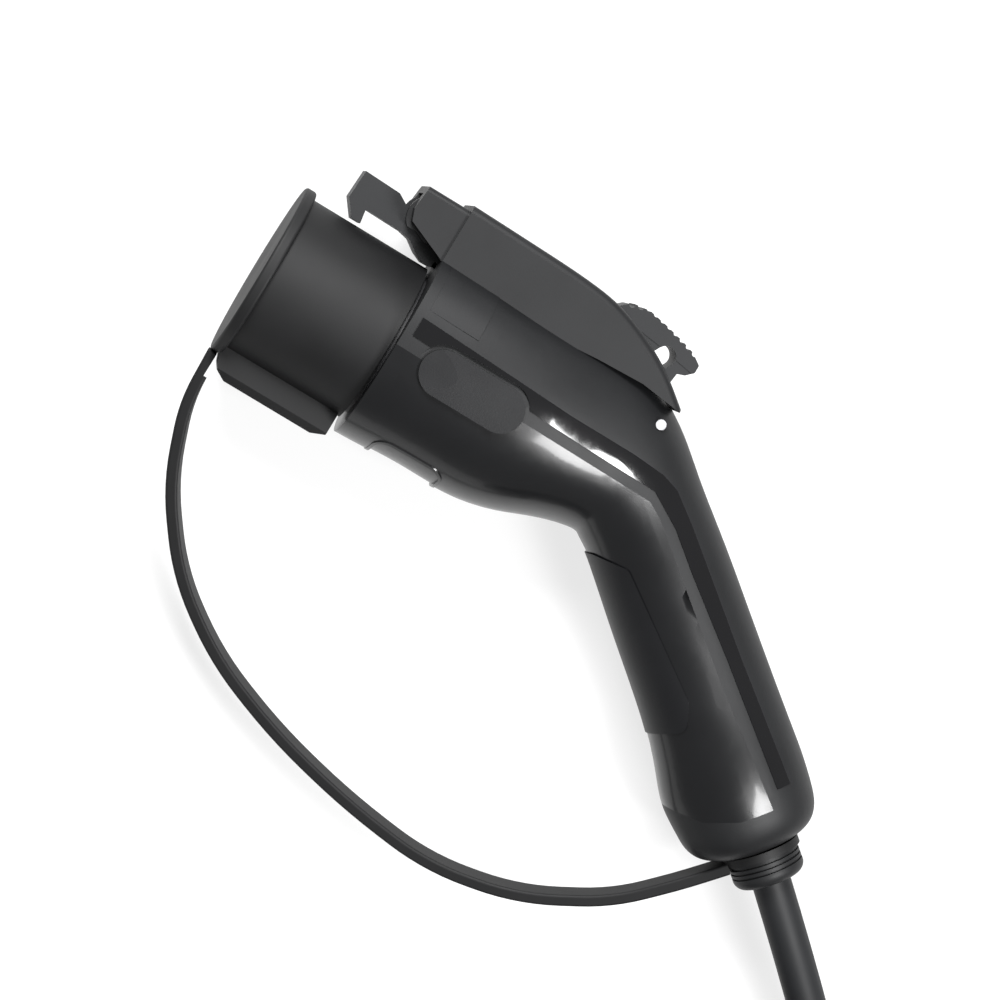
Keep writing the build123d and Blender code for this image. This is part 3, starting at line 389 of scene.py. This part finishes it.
@dataclass
class ShoulderWeb:
    """Curved wall of the back shell beside the latch well, behind the shoulder face."""

    shop: FinishShop
    start: float = 3.2
    end: float = 19.0
    belt: float = 1.5
    top: float = 30.0
    half_width: float = 27.7
    inset: float = 0.35
    squareness: float = 3.0
    wall: float = 1.2
    first_angle: float = 28.0
    last_angle: float = 72.0
    steps: int = 24

    def build(self) -> None:
        """Sweep the wall's arc along the nose axis on both sides of the middle plane."""
        for name, side in (("shoulder_web_left", 1.0), ("shoulder_web_right", -1.0)):
            self._one(name, side)

    def _arc_point(self, x: float, angle: float, side: float) -> Vector:
        """Point of the wall's outer face.

        Args:
            x: Distance back from the shoulder face, in millimetres.
            angle: Angle from the top of the section, in radians.
            side: 1 for the upper side as the plug lies, -1 for the lower.

        Returns:
            The point in the row frame, in metres.
        """
        reach = self.top - self.belt - self.inset - 0.02 * x
        width = self.half_width - self.inset - 0.015 * x
        up = self.belt + reach * math.cos(angle) ** (2 / self.squareness)
        across = width * math.sin(angle) ** (2 / self.squareness)
        return plug_point(x, up, 28.3 + side * across)

    def _one(self, name: str, side: float) -> None:
        """Make one side's wall.

        Args:
            name: Name of the piece.
            side: Which side of the middle plane it is on.
        """
        shape = bmesh.new()
        row = []
        for step in range(self.steps + 1):
            share = step / self.steps
            angle = math.radians(self.first_angle + (self.last_angle - self.first_angle) * share)
            row.append(shape.verts.new(self._arc_point(self.start, angle, side)))
        edges = [shape.edges.new(pair) for pair in zip(row, row[1:])]
        far = bmesh.ops.extrude_edge_only(shape, edges=edges)["geom"]
        moved = [item for item in far if isinstance(item, bmesh.types.BMVert)]
        bmesh.ops.translate(shape, verts=moved, vec=Vector((self.end - self.start, 0.0, 0.0)) * MM)
        for vertex in moved:
            vertex.co.y -= 0.02 * (self.end - self.start) * MM
        bmesh.ops.recalc_face_normals(shape, faces=shape.faces)
        mesh = bpy.data.meshes.new(name)
        shape.to_mesh(mesh)
        shape.free()
        web = bpy.data.objects.new(name, mesh)
        bpy.context.scene.collection.objects.link(web)
        thick = web.modifiers.new("wall", "SOLIDIFY")
        thick.thickness = self.wall * MM
        thick.offset = 0.0
        self.shop.dress(web, "shell_back")
        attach(web, "housing")
        LOG.info("built %s", name)


@dataclass
class Studio:
    """Pale floor, soft light and the camera."""

    camera_at: tuple[float, float, float] = (-99.0, -1.0, 1183.3)
    aimed_at: tuple[float, float, float] = (50.5, -20.9, 28.3)
    picture_up: Vector = field(default_factory=lambda: Vector((-0.5195, 0.8545, 0.0)))
    lens: float = 148.0
    floor_half: float = 4.0

    def build(self) -> None:
        """Place the floor, the lamps and the camera."""
        self._floor()
        self._lamp("key_lamp", (-250.0, 420.0, 620.0), 12.0, 320.0)
        self._lamp("fill_lamp", (420.0, -60.0, 560.0), 5.0, 200.0)
        self._world()
        self._camera()
        bpy.context.scene.view_settings.view_transform = "Standard"

    def _floor(self) -> None:
        """Flat white floor that keeps the object's shadow."""
        mesh = bpy.data.meshes.new("floor")
        shape = bmesh.new()
        bmesh.ops.create_grid(shape, x_segments=1, y_segments=1, size=self.floor_half)
        shape.to_mesh(mesh)
        shape.free()
        floor = bpy.data.objects.new("floor", mesh)
        bpy.context.scene.collection.objects.link(floor)
        material = bpy.data.materials.new("pale_floor")
        material.use_nodes = True
        nodes, links = material.node_tree.nodes, material.node_tree.links
        shader = nodes["Principled BSDF"]
        shader.inputs["Base Color"].default_value = (0.9, 0.9, 0.9, 1.0)
        shader.inputs["Roughness"].default_value = 0.9
        glow = nodes.new("ShaderNodeEmission")
        rays = nodes.new("ShaderNodeLightPath")
        seen = nodes.new("ShaderNodeMath")
        seen.operation = "MAXIMUM"
        links.new(rays.outputs["Is Camera Ray"], seen.inputs[0])
        links.new(rays.outputs["Is Glossy Ray"], seen.inputs[1])
        part = nodes.new("ShaderNodeMath")
        part.operation = "MULTIPLY"
        part.inputs[1].default_value = 0.75
        links.new(seen.outputs["Value"], part.inputs[0])
        mix = nodes.new("ShaderNodeMixShader")
        links.new(part.outputs["Value"], mix.inputs["Fac"])
        links.new(shader.outputs["BSDF"], mix.inputs[1])
        links.new(glow.outputs["Emission"], mix.inputs[2])
        links.new(mix.outputs["Shader"], nodes["Material Output"].inputs["Surface"])
        mesh.materials.append(material)

    def _lamp(self, name: str, place: tuple[float, float, float], power: float, size: float) -> None:
        """Square soft lamp aimed at the plug.

        Args:
            name: Name of the lamp.
            place: Position in the plug's axes, with its height, in millimetres.
            power: Power in watts.
            size: Side of the lamp in millimetres.
        """
        light = bpy.data.lights.new(name, "AREA")
        light.energy = power
        light.size = size * MM
        lamp = bpy.data.objects.new(name, light)
        bpy.context.scene.collection.objects.link(lamp)
        lamp.location = plug_point(*place)
        aim = plug_point(*self.aimed_at) - lamp.location
        lamp.rotation_euler = aim.to_track_quat("-Z", "Y").to_euler()

    def _world(self) -> None:
        """Even pale surroundings."""
        world = bpy.data.worlds.new("studio")
        world.use_nodes = True
        background = world.node_tree.nodes["Background"]
        background.inputs["Color"].default_value = (1.0, 1.0, 1.0, 1.0)
        background.inputs["Strength"].default_value = 0.35
        bpy.context.scene.world = world

    def _camera(self) -> None:
        """Camera above the plug, turned so that the nose points up and to the left."""
        data = bpy.data.cameras.new("camera")
        data.lens = self.lens
        data.sensor_width = 36.0
        camera = bpy.data.objects.new("camera", data)
        bpy.context.scene.collection.objects.link(camera)
        place = plug_point(*self.camera_at)
        back = (place - plug_point(*self.aimed_at)).normalized()
        up = (self.picture_up - back * self.picture_up.dot(back)).normalized()
        right = up.cross(back)
        turn = Matrix((right, up, back)).transposed().to_4x4()
        camera.matrix_world = Matrix.Translation(place) @ turn
        bpy.context.scene.camera = camera


def main() -> None:
    """Build the whole scene and report each piece."""
    logging.basicConfig(level=logging.INFO, format="%(name)s: %(message)s")
    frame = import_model()
    studio = Studio()
    studio.build()
    shop = FinishShop()
    ChargingCable(shop).build()
    ShoulderWeb(shop).build()
    PlugBody(shop, frame).dress()


if __name__ == "__main__":
    main()
